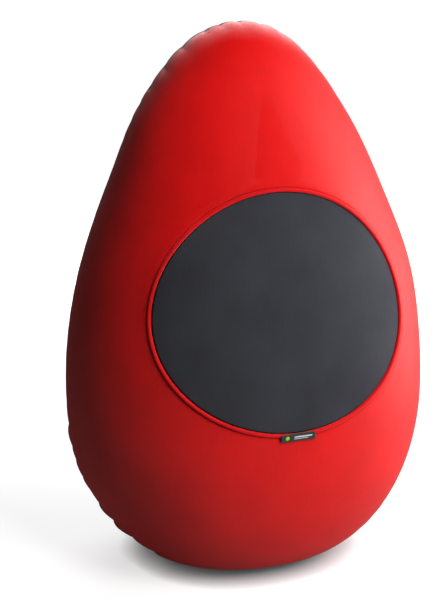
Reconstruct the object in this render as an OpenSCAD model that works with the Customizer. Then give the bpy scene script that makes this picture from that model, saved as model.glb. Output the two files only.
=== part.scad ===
// Bean bag chair: an upright egg of stretch fabric with a round seat panel set into its front.
// The origin is on the floor under the middle of the body. +Z is up and the seat faces -Y.
// Lengths are millimetres, angles are degrees.
//
// Every layer of the body is one and the same egg, made smaller by its depth under the surface.
// A point on a layer is named by its latitude, -90 at the rim of the flat base, 0 at the waist and
// 90 at the tip, and by its turn round the vertical axis, 0 at +X, 90 at the back, -90 at the front.

/* [Body] */
// Height of the chair standing upright
body_h = 1200; // [1100:10:1300]
// Width across the widest part
body_w = 800; // [740:10:860]
// Depth from front to back across the widest part
body_d = 735; // [680:5:790]
// Height of the widest part above the floor
waist_h = 395; // [370:5:430]
// Share of the widest radius that lies flat on the floor
base_share = 0.33; // [0.28:0.01:0.4]
// How strongly the upper body draws in
taper = 0.32; // [0.25:0.01:0.38]
// How much of that taper is given back near the tip
crown = 0.78; // [0.7:0.01:0.85]
// Squareness of the front in plan, 2 is an ellipse
front_square = 2.2; // [2:0.05:2.4]

/* [Seat panel] */
// Width of the seat panel inside its piping
seat_w = 546; // [500:2:580]
// Height of the seat panel, measured square to its axis
seat_h = 493; // [450:2:520]
// Height at which the seat's axis crosses the body's axis
seat_axis_h = 505; // [490:5:530]
// Upward tilt of the seat's axis
seat_tilt = 23.4; // [20:0.2:26]
// Diameter of the piping round the seat
piping_d = 8; // [6:0.5:9]
// Diameter of the cord inside the piping
piping_cord_d = 5; // [3:0.5:5]

/* [Fabric] */
// Thickness of the cover fabric
cover_t = 2.5; // [2:0.1:3]
// Thickness of the liner fabric
liner_t = 1; // [0.6:0.1:1.2]
// Depth of the liner under the outer surface
liner_depth = 9; // [8.8:0.1:10]
// Depth of the bead filling under the outer surface
filling_depth = 15; // [14:0.5:20]
// Slit between two panels that are sewn together
seam_gap = 0.4; // [0.3:0.1:0.6]
// Width of the binding tape inside the seams
binding_w = 16; // [12:1:20]
// Height of the base seam above the floor
base_seam_h = 14; // [12:1:20]
// How far the side seams lie behind the widest line
seam_turn = 14; // [8:1:18]

/* [Zips] */
// Height of the cover's zip above the floor
zip_h = 210; // [190:5:230]
// Height of the liner's zip above the floor
liner_zip_h = 310; // [290:5:330]
// Half of the angle that a zip spans round the back
zip_half_turn = 38; // [30:1:42]
// Width of the slot that a zip and its tapes fill
zip_slot_w = 26; // [25:1:30]
// Length of a slider
slider_l = 12; // [10:1:14]
// Length of the pull tab
pull_l = 26; // [20:1:32]

/* [Label] */
// Length of the folded side label along the seam
label_w = 74; // [50:1:80]
// Drop of the folded side label
label_h = 16; // [14:1:24]
// Angle round the seat panel at which the label is sewn in, 270 is the bottom
label_angle = 272; // [266:1:284]

/* [Hidden] */
$fn = 96;

half_w = body_w / 2;
half_d = body_d / 2;
cover_red = [0.80, 0.07, 0.07];
charcoal = [0.17, 0.17, 0.19];
liner_white = [0.92, 0.92, 0.90];
metal = [0.55, 0.56, 0.58];

// How finely the panels are divided.
skirt_steps = 4;
back_steps = 11;
side_steps = skirt_steps + 1 + back_steps;
top_steps = 12;
bottom_steps = 16;
panel_rows = 8;
seat_rings = 5;
turn_steps = 14;
front_turn_steps = 20;
zip_facing_gap = 3;
bisections = 24;
base_turns = 40;
filling_turns = 32;
filling_steps = 20;

// Shares across a panel from its sewn edge. The extra one keeps the panel true beside the seam.
near_seam = 0.03;
back_shares = concat([0, near_seam], [for (i = [1:turn_steps - 1]) i / turn_steps], [1 - near_seam, 1]);
panel_shares = concat([0, 2 * near_seam], [for (i = [1:panel_rows]) i / panel_rows]);

// A zip's section: across, from the middle of the slot, and out from the fabric's outer surface.
zip_gap = 0.75;
tape_out = [-1.6, -0.85];
coil_out = [-0.8, 1.2];
coil_w = 2.45;
slider_half_w = 5.5;
slider_rim = 0.9;
slider_post = 0.45;
slider_top = [1.5, 2.5];
slider_bottom = [-3, -2];
stop_turn = [0.15, 0.45];
coil_turn = 0.6;
slider_rest_turn = 0.7;

// Threads: their radius, how far they stand on the fabric, and how far from a seam they run.
stitch_r = 0.3;
stitch_lift = 0.45;
zip_stitch_lift = 0.8;
stitch_in = 5;
zip_stitch_in = 2;

// Binding tape: its thickness, how far it lies under the cover, and where it stops over the base.
binding_t = 0.4;
binding_gap = 3.3;
base_binding_gap = 2;
binding_end_lat = 2;

// Labels: ribbon thickness, thickness once folded, where the side label starts on the piping and
// its lift over it; the care label's latitudes, how far it reaches from the left side seam, its
// thickness and its gap to the cover.
ribbon_t = 0.5;
folded_t = 1.4;
label_start = -3.6;
label_clear = 0.4;
care_lats = [-30, -18];
care_turns = [1, 11];
care_t = 0.4;
care_gap = 5.1;

// A zip stop stands a little higher than the coils, and a bail's foot sinks into the slider.
stop_rise = 0.4;
bail_sink = 0.3;

// The liner's base stops a little under its seam.
liner_base_clear = 0.3;

// The piping stands a little proud, with some play round the cord in its sleeve.
piping_lift = 1;
piping_play = 0.4;

// The slider's bail, a bar along the zip, and the pull that hangs on it.
bail_out = 5;
bail_r = 0.8;
bail_l = 9;
bail_foot = 1.1;
pull_play = 0.08;
pull_eye_r = 2.1;
pull_eye_l = 6;
pull_w = 9;
pull_t = 1.8;
pull_neck = 6;

// ---------- The egg ----------

// Radius at a latitude, as a share of the widest radius.
function girth(lat) = lat < 0
    ? base_share + (1 - base_share) * cos(lat)
    : cos(lat) * (1 - taper * pow(sin(lat), 2) * (1 - crown * pow(sin(lat), 4)));

// The vertical half of the egg that a point is in, from the waist to the base or to the tip.
function half_h(low, depth) = (low ? waist_h : body_h - waist_h) - depth;
function lat_at(z, depth = 0) =
    asin(max(-1, min(1, (z - waist_h) / half_h(z < waist_h, depth))));

// A sine or cosine, squared off by the exponent of the plan's outline, and back again.
function plan_power(is_front) = is_front ? 2 / front_square : 1;
function shaped(value, power) = sign(value) * pow(abs(value), power);

function skin(lat, turn, depth = 0) =
    let (power = plan_power(sin(turn) < 0))
    [
        (half_w - depth) * girth(lat) * shaped(cos(turn), power) + 0,
        (half_d - depth) * girth(lat) * shaped(sin(turn), power) + 0,
        waist_h + sin(lat) * half_h(lat < 0, depth)
    ];

// Turn of a point that lies on the skin.
function turn_of(p) =
    let (power = 1 / plan_power(p.y < 0))
    atan2(shaped(p.y / half_d, power), shaped(p.x / half_w, power));

function unit(v) = v / norm(v);
function skin_normal(lat, turn) = lat > 89 ? [0, 0, 1]
    : unit(cross(skin(lat, turn + 0.5) - skin(lat, turn - 0.5),
                 skin(lat + 0.5, turn) - skin(lat - 0.5, turn)));

// Even steps that end at exactly the last value, so that a row at the tip falls into one point.
function steps(from, to, count) = [for (i = [0:count]) i == count ? to : from + (to - from) * i / count];
function mix(a, b, share) = a + (b - a) * share;

// ---------- Solids from grids of points ----------

// Two triangles for a four-sided face, without those that have two corners in one place.
function halves(points, a, b, c, d) = [
    for (t = [[a, b, c], [a, c, d]])
        if (points[t[0]] != points[t[1]] && points[t[1]] != points[t[2]] && points[t[0]] != points[t[2]]) t
];

// The faces between neighbouring rows and columns of points.
function grid_faces(points, rows, cols) = [
    for (r = [0:rows - 2], c = [0:cols - 2])
        let (a = r * cols + c)
        each halves(points, a, a + 1, a + 1 + cols, a + cols)
];

// The face across the open end of a panel, between its outer and its inner edge.
function end_faces(points, cols, first, flip) = [
    for (c = [0:cols - 2])
        let (a = first + c, b = a + 1, e = first + 2 * cols - 1 - c, f = e - 1)
        each (flip ? halves(points, a, b, f, e) : halves(points, a, e, f, b))
];

// A solid that a grid of points closes by itself, as round a tube or an egg.
module closed_grid(grid) {
    points = [for (row = grid) each row];
    polyhedron(points, grid_faces(points, len(grid), len(grid[0])));
}

// A panel of even thickness. Each of its rows goes out along the outer grid and back along the
// inner one, and a panel that isn't a ring is closed at its first and its last row. Seen from
// outside, the rows follow each other to the right and the points of a row go up.
module panel(outer, inner, ring = false) {
    cols = len(outer[0]);
    rows = len(outer);
    points = [for (r = [0:rows - 1])
        each concat(outer[r], [for (c = [cols - 1:-1:0]) inner[r][c]], [outer[r][0]])];
    wide = 2 * cols + 1;
    ends = ring ? [] : concat(end_faces(points, cols, 0, false),
        end_faces(points, cols, (rows - 1) * wide, true));
    polyhedron(points, concat(grid_faces(points, rows, wide), ends));
}

// A strip of the skin between two lists of latitudes and turns.
function patch(lats, turns, depth) = [for (turn = turns) [for (lat = lats) skin(lat, turn, depth)]];

// Points of a round section across a line, from its point, direction and normal. Its angles are
// measured from the side towards the normal.
function section_arc(s, r, angles) =
    let (side = cross(s[1], s[2]))
    [for (a = angles) s[0] + r * (cos(a) * side + sin(a) * s[2])];
function section_ring(s, r, sides) = section_arc(s, r, [for (i = [0:sides]) 360 * (i % sides) / sides]);

// ---------- Edges of the panels ----------

base_lat = lat_at(base_seam_h);
zip_arc = zip_circle(zip_h, 0);
liner_zip_arc = zip_circle(liner_zip_h, liner_depth);
zip_low_lat = lat_at(zip_h - zip_slot_w / 2 * cos(zip_arc[2]));
zip_high_lat = lat_at(zip_h + zip_slot_w / 2 * cos(zip_arc[2]));
liner_low_lat = lat_at(liner_zip_h - zip_slot_w / 2 * cos(liner_zip_arc[2]), liner_depth);
liner_high_lat = lat_at(liner_zip_h + zip_slot_w / 2 * cos(liner_zip_arc[2]), liner_depth);

skirt_lats = steps(base_lat, zip_low_lat, skirt_steps);
back_lats = steps(zip_high_lat, 90, back_steps);
side_lats = concat(skirt_lats, back_lats);

// The side seams lie behind the widest line at the waist and meet it at the tip and the base.
function seam_at(lat) = seam_turn * (1 - pow(lat / 90, 2));

// The slit of a side seam as an angle, which widens where the body is slim.
function slit_turn(lat) = seam_gap / half_w / max(0.15, girth(lat)) * 180 / PI;
function right_turn(lat) = seam_at(lat);
function left_turn(lat) = -180 - seam_at(lat);

// Turn of a point of the back, by its share of the way from the right side seam to the left one.
function back_turn(lat, share) =
    let (edge = seam_at(lat) + slit_turn(lat)) mix(edge, 180 - edge, share);

// ---------- The seat's outline ----------

seat_out = [0, -cos(seat_tilt), sin(seat_tilt)];
seat_up = [0, sin(seat_tilt), cos(seat_tilt)];

function is_inside(p, depth) =
    let (g = max(0.001, girth(lat_at(p.z, depth))), n = p.y < 0 ? front_square : 2)
    pow(abs(p.x) / (half_w - depth) / g, n) + pow(abs(p.y) / (half_d - depth) / g, n) < 1;

// Halves the stretch between near and far until it meets the skin.
function reach(p, depth, near, far, left) = left == 0 ? near
    : let (mid = (near + far) / 2)
    is_inside(p + seat_out * mid, depth)
        ? reach(p, depth, mid, far, left - 1) : reach(p, depth, near, mid, left - 1);

// A point of the seat: angle round its axis, share of its size, and growth past its outline.
function seat_point(angle, share, grow, depth) =
    let (p = [0, 0, seat_axis_h]
            + [1, 0, 0] * cos(angle) * (seat_w / 2 + grow) * share
            + seat_up * sin(angle) * (seat_h / 2 + grow) * share)
    p + seat_out * reach(p, depth, 0, body_d, bisections);

// Angles round the seat that face the right seam, the tip, the left seam and the base seam.
seat_corners = [-58, 62, 118, 238, 302];
function stretch(i, count) = [for (k = [0:count - 1]) mix(seat_corners[i], seat_corners[i + 1], k / count)];
seat_angles = concat(stretch(0, side_steps), stretch(1, top_steps), stretch(2, side_steps),
    stretch(3, bottom_steps), [seat_corners[4]]);

piping_clear = piping_d / 2 + seam_gap;

// The front panel's outer edge, as latitude and turn, in step with seat_angles.
front_edge = concat(
    [for (i = [0:side_steps - 1]) [side_lats[i], right_turn(side_lats[i])]],
    [for (i = [0:top_steps - 1]) [90, mix(0, -180, i / top_steps)]],
    [for (i = [0:side_steps - 1]) let (lat = side_lats[side_steps - i]) [lat, left_turn(lat)]],
    [for (share = steps(0, 1, bottom_steps))
        [base_lat, mix(left_turn(base_lat), right_turn(base_lat), share)]]);
front_hole = [for (a = seat_angles) let (p = seat_point(a, 1, piping_clear, 0)) [lat_at(p.z), turn_of(p)]];

function front_grid(depth) = [for (i = [0:len(front_edge) - 1])
    [for (share = panel_shares)
        let (place = mix(front_edge[i], front_hole[i], share))
        skin(place[0], place[1], depth)]];

function seat_grid(depth) = [for (a = seat_angles)
    [for (r = [seat_rings:-1:0]) seat_point(a, r / seat_rings, -piping_clear, depth)]];

// The line of the piping or of a row of stitches: point, direction and normal at each angle.
function seat_line(grow, lift) = [for (a = seat_angles)
    let (p = seat_point(a, 1, grow, 0), ahead = seat_point(a + 1, 1, grow, 0),
        out = skin_normal(lat_at(p.z), turn_of(p)), along = unit(ahead - p))
    [p + out * lift, unit(along - out * (along * out)), out]];

// ---------- Zips ----------

// The circle that best follows the back at a height: its centre's Y, its radius and the
// angle by which the surface leans out.
function zip_circle(z, depth) =
    let (lat = lat_at(z, depth), middle = skin(lat, 90, depth), end = skin(lat, 90 - zip_half_turn, depth),
        sag = middle.y - end.y, radius = (end.x * end.x + sag * sag) / (2 * sag))
    [middle.y - radius, radius,
        atan((half_d - depth) * (1 - base_share) * -sin(lat) / (half_h(true, depth) * cos(lat))),
        asin(end.x / radius)];

module along_zip(arc, z, from, to)
    translate([0, arc[0], z]) rotate([0, 0, from]) rotate_extrude(angle = to - from)
        translate([arc[1], 0]) rotate(-arc[2]) children();

// A rectangle in a zip's section, given by two spans.
module section(out, across)
    translate([out[0], across[0]]) square([out[1] - out[0], across[1] - across[0]]);

module zip_tape(arc, z, upper) {
    edge = [zip_gap, zip_slot_w / 2 - seam_gap];
    along_zip(arc, z, 90 - arc[3], 90 + arc[3])
        section(tape_out, upper ? edge : [-edge[1], -edge[0]]);
}

module zip_coil(arc, z, upper)
    along_zip(arc, z, 90 - arc[3] + coil_turn, 90 + arc[3] - coil_turn)
        section(coil_out, upper ? [zip_gap, zip_gap + coil_w] : [-zip_gap - coil_w, -zip_gap]);

module zip_stop_pair(arc, z)
    for (start = [90 - arc[3] + stop_turn[0], 90 + arc[3] - stop_turn[1]])
        along_zip(arc, z, start, start + stop_turn[1] - stop_turn[0])
            section([coil_out[0], coil_out[1] + stop_rise], [-zip_gap - coil_w, zip_gap + coil_w]);

// Angle at which a slider starts, and the angle that it covers.
function slider_start(arc) = 90 - arc[3] + slider_rest_turn;
function slider_turn(arc) = slider_l / arc[1] * 180 / PI;

module slider_body(arc, z)
    along_zip(arc, z, slider_start(arc), slider_start(arc) + slider_turn(arc)) {
        section(slider_top, [-slider_half_w, slider_half_w]);
        section(slider_bottom, [-slider_half_w, slider_half_w]);
        section([slider_bottom[1], slider_top[0]], [-slider_post, slider_post]);
        for (side = [-slider_half_w, slider_half_w - slider_rim])
            section([0, slider_top[0]], [side, side + slider_rim]);
    }

// The slider's own frame: X out from the fabric, Y along the zip, Z up.
module at_slider(upright = false)
    translate([0, zip_arc[0], zip_h]) rotate([0, 0, slider_start(zip_arc) + slider_turn(zip_arc) / 2])
        translate([zip_arc[1], 0, 0]) rotate([0, zip_arc[2], 0])
            translate([bail_out, 0, 0]) rotate([0, upright ? -zip_arc[2] : 0, 0]) children();

// The two fabric strips that carry on a zip's slot to the side seams.
module zip_facing(low, high, arc_turn, depth, thick, right) {
    lats = [low + zip_facing_gap * slit_turn(low), high - zip_facing_gap * slit_turn(high)];
    last = 90 - arc_turn - slit_turn(low);
    shares = [for (share = back_shares) if (back_turn(low, share) < last - near_seam * 90) share];
    count = len(shares);
    function facing_turn(lat, i) = i < count ? back_turn(lat, shares[i]) : last;
    function grid(d) = [for (i = [0:count]) [for (lat = lats)
        skin(lat, right ? facing_turn(lat, i) : 180 - facing_turn(lat, count - i), d)]];
    panel(grid(depth), grid(depth + thick));
}

// ---------- The cover ----------

module front_panel() color(cover_red)
    panel(front_grid(0), front_grid(cover_t), ring = true);

module seat_panel() color(charcoal)
    panel(seat_grid(0), seat_grid(cover_t), ring = true);

// A strip folded round the cord, open underneath where it is sewn between the two panels.
module seat_piping_sleeve() color(cover_red) {
    folded = [for (a = [-60:50:240]) a];
    unfolded = [for (a = [240:-50:-60]) a];
    closed_grid([for (s = seat_line(0, piping_lift)) concat(section_arc(s, piping_d / 2, folded),
        section_arc(s, piping_cord_d / 2 + piping_play, unfolded), section_arc(s, piping_d / 2, [-60]))]);
}

module seat_piping_cord() color(liner_white)
    closed_grid([for (s = seat_line(0, piping_lift)) section_ring(s, piping_cord_d / 2, 6)]);

module seat_topstitch() color(cover_red)
    closed_grid([for (s = seat_line(piping_clear + stitch_in, stitch_lift)) section_ring(s, stitch_r, 4)]);

module back_panel() color(charcoal) back_part(back_lats, 0, cover_t);

module back_skirt_panel() color(charcoal) back_part(skirt_lats, 0, cover_t);

// A panel of the back from side seam to side seam.
module back_part(lats, depth, thick) {
    function grid(d) = [for (share = back_shares) [for (lat = lats) skin(lat, back_turn(lat, share), d)]];
    panel(grid(depth), grid(depth + thick));
}

// The base: flat on the floor, then turned up to the base seam.
module base_part(top_lat, depth, thick) {
    lats = steps(-90, top_lat, 2);
    function grid(d) = [for (turn = steps(0, 360, base_turns))
        concat([for (share = [0, 0.5]) [skin(-90, turn, d).x * share, skin(-90, turn, d).y * share, d]],
            [for (lat = lats) skin(lat, turn % 360, d)])];
    panel(grid(depth), grid(depth + thick), ring = true);
}

module base_panel() color(charcoal)
    base_part(lat_at(base_seam_h - seam_gap), 0, cover_t);

// A flat tape under a seam. Each point of its line is a latitude and a turn.
module side_seam_binding() color(charcoal) {
    depth = cover_t + binding_gap;
    lats = [for (lat = side_lats) if (lat > base_lat) lat];
    first = base_lat + binding_end_lat;
    line = concat([[first, left_turn(first)]], [for (lat = lats) if (lat < 90) [lat, left_turn(lat)]],
        [[90, 0]], [for (i = [len(lats) - 2:-1:0]) [lats[i], right_turn(lats[i])]],
        [[first, right_turn(first)]]);
    spots = [for (s = line) skin(s[0], s[1], depth)];
    last = len(spots) - 1;
    rings = [for (i = [0:last])
        let (out = skin_normal(line[i][0], line[i][1]),
            along = unit(spots[min(last, i + 1)] - spots[max(0, i - 1)]),
            side = unit(cross(out, along)) * binding_w / 2)
        let (top = spots[i], under = spots[i] - out * binding_t)
        [top + side, top - side, under - side, under + side]];
    panel([for (r = rings) [r[1], r[0]]], [for (r = rings) [r[2], r[3]]]);
}

module base_seam_binding() color(charcoal) {
    depth = cover_t + base_binding_gap;
    half = binding_w / 2 / waist_h * 180 / PI;
    lats = [base_lat - half, base_lat + half];
    turns = [for (t = steps(0, 360, base_turns)) t % 360];
    panel(patch(lats, turns, depth), patch(lats, turns, depth + binding_t), ring = true);
}

module zip_facing_left() color(charcoal)
    zip_facing(zip_low_lat, zip_high_lat, zip_half_turn, 0, cover_t, false);
module zip_facing_right() color(charcoal)
    zip_facing(zip_low_lat, zip_high_lat, zip_half_turn, 0, cover_t, true);
module zip_tape_upper() color(charcoal) zip_tape(zip_arc, zip_h, true);
module zip_tape_lower() color(charcoal) zip_tape(zip_arc, zip_h, false);
module zip_coil_upper() color("dimgray") zip_coil(zip_arc, zip_h, true);
module zip_coil_lower() color("dimgray") zip_coil(zip_arc, zip_h, false);
module zip_stops() color(metal) zip_stop_pair(zip_arc, zip_h);

module zip_topstitch() color("dimgray")
    for (across = [-1, 1])
        along_zip(zip_arc, zip_h, 90 - zip_arc[3], 90 + zip_arc[3])
            translate([zip_stitch_lift, across * (zip_slot_w / 2 + zip_stitch_in)])
                circle(stitch_r, $fn = 16);

module zip_slider() color(metal) {
    slider_body(zip_arc, zip_h);
    at_slider() {
        translate([0, bail_l / 2, 0]) rotate([90, 0, 0]) cylinder(r = bail_r, h = bail_l);
        for (end = [-bail_l / 2, bail_l / 2 - bail_foot])
            translate([slider_top[1] - bail_out - bail_sink, end, -bail_r])
                cube([bail_out - slider_top[1] + bail_sink + bail_r, bail_foot, 2 * bail_r]);
    }
}

module zip_pull() color(metal) at_slider(upright = true) difference() {
    union() {
        translate([0, pull_eye_l / 2, 0]) rotate([90, 0, 0]) cylinder(r = pull_eye_r, h = pull_eye_l);
        translate([-pull_t / 2, -pull_eye_l / 2, -pull_neck])
            cube([pull_t, pull_eye_l, pull_neck - bail_r - pull_play]);
        translate([-pull_t / 2, -pull_w / 2, -pull_l]) cube([pull_t, pull_w, pull_l - pull_neck]);
    }
    translate([0, pull_eye_l, 0]) rotate([90, 0, 0])
        cylinder(r = bail_r + pull_play, h = 2 * pull_eye_l);
}

// ---------- Labels ----------

// A ribbon folded once, sewn in on the inner side of the piping. It lies over the piping and hangs
// in front of the front panel.
module side_label() color(charcoal) {
    p = seat_point(label_angle, 1, label_start, 0);
    out = skin_normal(lat_at(p.z), turn_of(p));
    ahead = seat_point(label_angle + 1, 1, label_start, 0) - p;
    along = unit(ahead - out * (ahead * out));
    down = cross(along, out);
    place = p + out * (piping_lift + piping_d / 2 + label_clear);
    multmatrix([for (i = [0:2]) [along[i], down[i], out[i], place[i]]])
        translate([-label_w / 2, 0, 0]) rotate([90, 0, 90]) linear_extrude(label_w) difference() {
            square([label_h, folded_t]);
            translate([-1, ribbon_t]) square([label_h - ribbon_t + 1, folded_t - 2 * ribbon_t]);
        }
}

// Washing instructions, sewn inside the cover at the left side seam.
module care_label() {
    depth = cover_t + care_gap;
    function grid(d) = [for (turn = steps(care_turns[0], care_turns[1], 2))
        [for (lat = steps(care_lats[0], care_lats[1], 2)) skin(lat, left_turn(lat) + turn, d)]];
    color(liner_white) panel(grid(depth), grid(depth + care_t));
}

// ---------- The liner and its filling ----------

liner_seam_lats = concat(steps(base_lat, liner_low_lat, skirt_steps), steps(liner_high_lat, 90, back_steps));

function liner_front_grid(depth) = [for (share = steps(0, 1, front_turn_steps))
    [for (lat = liner_seam_lats) skin(lat, mix(left_turn(lat), right_turn(lat), share), depth)]];

module liner_front() color(liner_white)
    panel(liner_front_grid(liner_depth), liner_front_grid(liner_depth + liner_t));
module liner_back() color(liner_white)
    back_part(steps(liner_high_lat, 90, back_steps), liner_depth, liner_t);
module liner_skirt() color(liner_white)
    back_part(steps(base_lat, liner_low_lat, skirt_steps), liner_depth, liner_t);
module liner_base() color(liner_white)
    base_part(base_lat - liner_base_clear, liner_depth, liner_t);
module liner_zip_facing_left() color(liner_white)
    zip_facing(liner_low_lat, liner_high_lat, zip_half_turn, liner_depth, liner_t, false);
module liner_zip_facing_right() color(liner_white)
    zip_facing(liner_low_lat, liner_high_lat, zip_half_turn, liner_depth, liner_t, true);
module liner_zip_tape_upper() color(liner_white) zip_tape(liner_zip_arc, liner_zip_h, true);
module liner_zip_tape_lower() color(liner_white) zip_tape(liner_zip_arc, liner_zip_h, false);
module liner_zip_coil_upper() color(liner_white) zip_coil(liner_zip_arc, liner_zip_h, true);
module liner_zip_coil_lower() color(liner_white) zip_coil(liner_zip_arc, liner_zip_h, false);
module liner_zip_stops() color(metal) zip_stop_pair(liner_zip_arc, liner_zip_h);

// A locking slider with no pull, so that a child can't open the liner.
module liner_zip_slider() color(metal) slider_body(liner_zip_arc, liner_zip_h);

// The beads as one body, from the middle of its flat base to its tip.
module bead_filling() color("ivory")
    closed_grid([for (turn = steps(0, 360, filling_turns))
        concat([[0, 0, filling_depth]],
            [for (lat = steps(-90, 90, filling_steps)) skin(lat, turn % 360, filling_depth)])]);

front_panel();
seat_panel();
seat_piping_sleeve();
seat_piping_cord();
seat_topstitch();
back_panel();
back_skirt_panel();
base_panel();
side_seam_binding();
base_seam_binding();
zip_facing_left();
zip_facing_right();
zip_tape_upper();
zip_tape_lower();
zip_coil_upper();
zip_coil_lower();
zip_stops();
zip_topstitch();
zip_slider();
zip_pull();
side_label();
care_label();
liner_front();
liner_back();
liner_skirt();
liner_base();
liner_zip_facing_left();
liner_zip_facing_right();
liner_zip_tape_upper();
liner_zip_tape_lower();
liner_zip_coil_upper();
liner_zip_coil_lower();
liner_zip_stops();
liner_zip_slider();
bead_filling();
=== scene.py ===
import math

import bmesh
import bpy
import numpy as np
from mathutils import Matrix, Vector
from mathutils.kdtree import KDTree


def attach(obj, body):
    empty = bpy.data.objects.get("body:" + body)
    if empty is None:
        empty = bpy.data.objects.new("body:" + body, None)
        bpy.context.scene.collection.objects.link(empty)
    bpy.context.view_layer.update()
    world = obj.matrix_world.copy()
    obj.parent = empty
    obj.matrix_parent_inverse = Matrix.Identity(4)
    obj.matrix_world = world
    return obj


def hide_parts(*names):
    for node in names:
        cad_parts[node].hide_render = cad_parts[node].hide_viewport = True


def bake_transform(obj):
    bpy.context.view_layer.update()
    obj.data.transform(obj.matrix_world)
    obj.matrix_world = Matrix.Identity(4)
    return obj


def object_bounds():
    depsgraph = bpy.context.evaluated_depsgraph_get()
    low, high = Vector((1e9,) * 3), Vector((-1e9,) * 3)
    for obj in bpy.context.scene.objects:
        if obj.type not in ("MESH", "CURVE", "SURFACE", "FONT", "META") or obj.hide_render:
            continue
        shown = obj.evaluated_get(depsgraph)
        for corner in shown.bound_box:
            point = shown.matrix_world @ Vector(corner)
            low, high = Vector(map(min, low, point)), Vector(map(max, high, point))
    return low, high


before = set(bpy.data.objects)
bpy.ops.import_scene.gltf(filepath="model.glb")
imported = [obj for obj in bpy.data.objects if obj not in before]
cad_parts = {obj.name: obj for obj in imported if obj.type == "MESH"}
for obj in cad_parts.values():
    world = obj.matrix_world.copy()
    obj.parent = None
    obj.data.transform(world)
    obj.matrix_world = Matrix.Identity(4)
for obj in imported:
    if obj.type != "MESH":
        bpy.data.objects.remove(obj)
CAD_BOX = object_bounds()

# The looks of a bean bag chair: an upright egg of stretch fabric with a round seat panel.
# Lengths are metres. Latitudes and turns are degrees, as in the CAD source: a point of the egg is
# named by its latitude, -90 at the rim of the flat base, 0 at the waist and 90 at the tip, and by
# its turn round the vertical axis, 0 at +X, 90 at the back and -90 at the front.

# ---------- Sizes that the CAD source gives ----------

BODY_H = CAD_BOX[1].z
HALF_W = (CAD_BOX[1].x - CAD_BOX[0].x) / 2
HALF_D = 0.3675
WAIST_H = 0.395
BASE_SHARE = 0.33
TAPER = 0.32
CROWN = 0.78
FRONT_SQUARE = 2.2
SEAM_TURN = 14
BASE_SEAM_H = 0.014

SEAT_HALF_W = 0.273
SEAT_HALF_H = 0.2465
SEAT_AXIS_H = 0.505
SEAT_TILT = math.radians(23.4)
PIPING_R = 0.004
PIPING_LIFT = 0.001
PIPING_CORD_R = 0.0025
SEAM_GAP = 0.0004
LEAST_GIRTH = 0.15
COVER_T = 0.0012
LINER_T = 0.001
LINER_DEPTH = 0.009
FILLING_DEPTH = 0.015

ZIP_HALF_TURN = 38
ZIP_SLOT_W = 0.026
ZIP_H = 0.210
LINER_ZIP_H = 0.310

# ---------- The egg ----------


def girth(lat):
    """Radius at a latitude, as a share of the widest radius."""
    s, c = np.sin(np.radians(lat)), np.cos(np.radians(lat))
    upper = c * (1 - TAPER * s**2 * (1 - CROWN * s**4))
    return np.where(np.asarray(lat) < 0, BASE_SHARE + (1 - BASE_SHARE) * c, upper)


def shaped(value, power):
    """A value raised to a power, with its sign kept."""
    return np.sign(value) * np.abs(value) ** power


def skin(lat, turn, depth=0.0):
    """Points of the egg at a depth under its surface."""
    lat, turn = np.broadcast_arrays(np.asarray(lat, float), np.asarray(turn, float))
    across, back = np.cos(np.radians(turn)), np.sin(np.radians(turn))
    power = np.where(back < 0, 2 / FRONT_SQUARE, 1.0)
    half_h = np.where(lat < 0, WAIST_H, BODY_H - WAIST_H) - depth
    return np.stack([
        (HALF_W - depth) * girth(lat) * shaped(across, power),
        (HALF_D - depth) * girth(lat) * shaped(back, power),
        WAIST_H + np.sin(np.radians(lat)) * half_h,
    ], axis=-1)


def lat_at(z, depth=0.0):
    """Latitude at a height."""
    half_h = np.where(np.asarray(z) < WAIST_H, WAIST_H, BODY_H - WAIST_H) - depth
    return np.degrees(np.arcsin(np.clip((z - WAIST_H) / half_h, -1, 1)))


def turn_of(p):
    """Turn of a point round the vertical axis."""
    power = np.where(p[..., 1] < 0, FRONT_SQUARE / 2, 1.0)
    across, back = shaped(p[..., 0] / HALF_W, power), shaped(p[..., 1] / HALF_D, power)
    return np.degrees(np.arctan2(back, across))


def unit(v):
    return v / np.maximum(np.linalg.norm(v, axis=-1, keepdims=True), 1e-12)


def skin_normal(lat, turn):
    """The direction out of the egg. It is straight up at the tip and down under the base."""
    lat = np.clip(lat, -89, 89)
    turn = np.asarray(turn)
    ahead = skin(lat, turn + 0.5) - skin(lat, turn - 0.5)
    up = skin(lat + 0.5, turn) - skin(lat - 0.5, turn)
    return unit(np.cross(ahead, up))


def seam_at(lat):
    """Turn of the right side seam at a latitude. The left one mirrors it."""
    return SEAM_TURN * (1 - (np.asarray(lat, float) / 90) ** 2)


def slit_turn(lat):
    """The turn that the gap between two panels takes up at a latitude."""
    return np.degrees(SEAM_GAP / HALF_W / np.maximum(LEAST_GIRTH, girth(lat)))


def mix(a, b, share):
    return a + (b - a) * share


EASE = 0.86


def ease(share):
    """Shares from 0 to 1, set closer together near both ends."""
    return share - EASE * np.sin(2 * math.pi * share) / (2 * math.pi)


def around(count):
    """Turns in equal steps all the way round."""
    return np.linspace(0, 360, count, endpoint=False)


def rise(value, low, high):
    """0 below low, 1 above high, and smooth between them."""
    share = np.clip((value - low) / (high - low), 0, 1)
    return share * share * (3 - 2 * share)


def hump(value, middle, spread):
    """1 at the middle, and smoothly down to 0 away from it."""
    return np.exp(-(((value - middle) / spread) ** 2))


# ---------- The seat's outline ----------

SEAT_OUT = np.array([0, -math.cos(SEAT_TILT), math.sin(SEAT_TILT)])
SEAT_UP = np.array([0, math.sin(SEAT_TILT), math.cos(SEAT_TILT)])
BISECTIONS = 28


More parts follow.
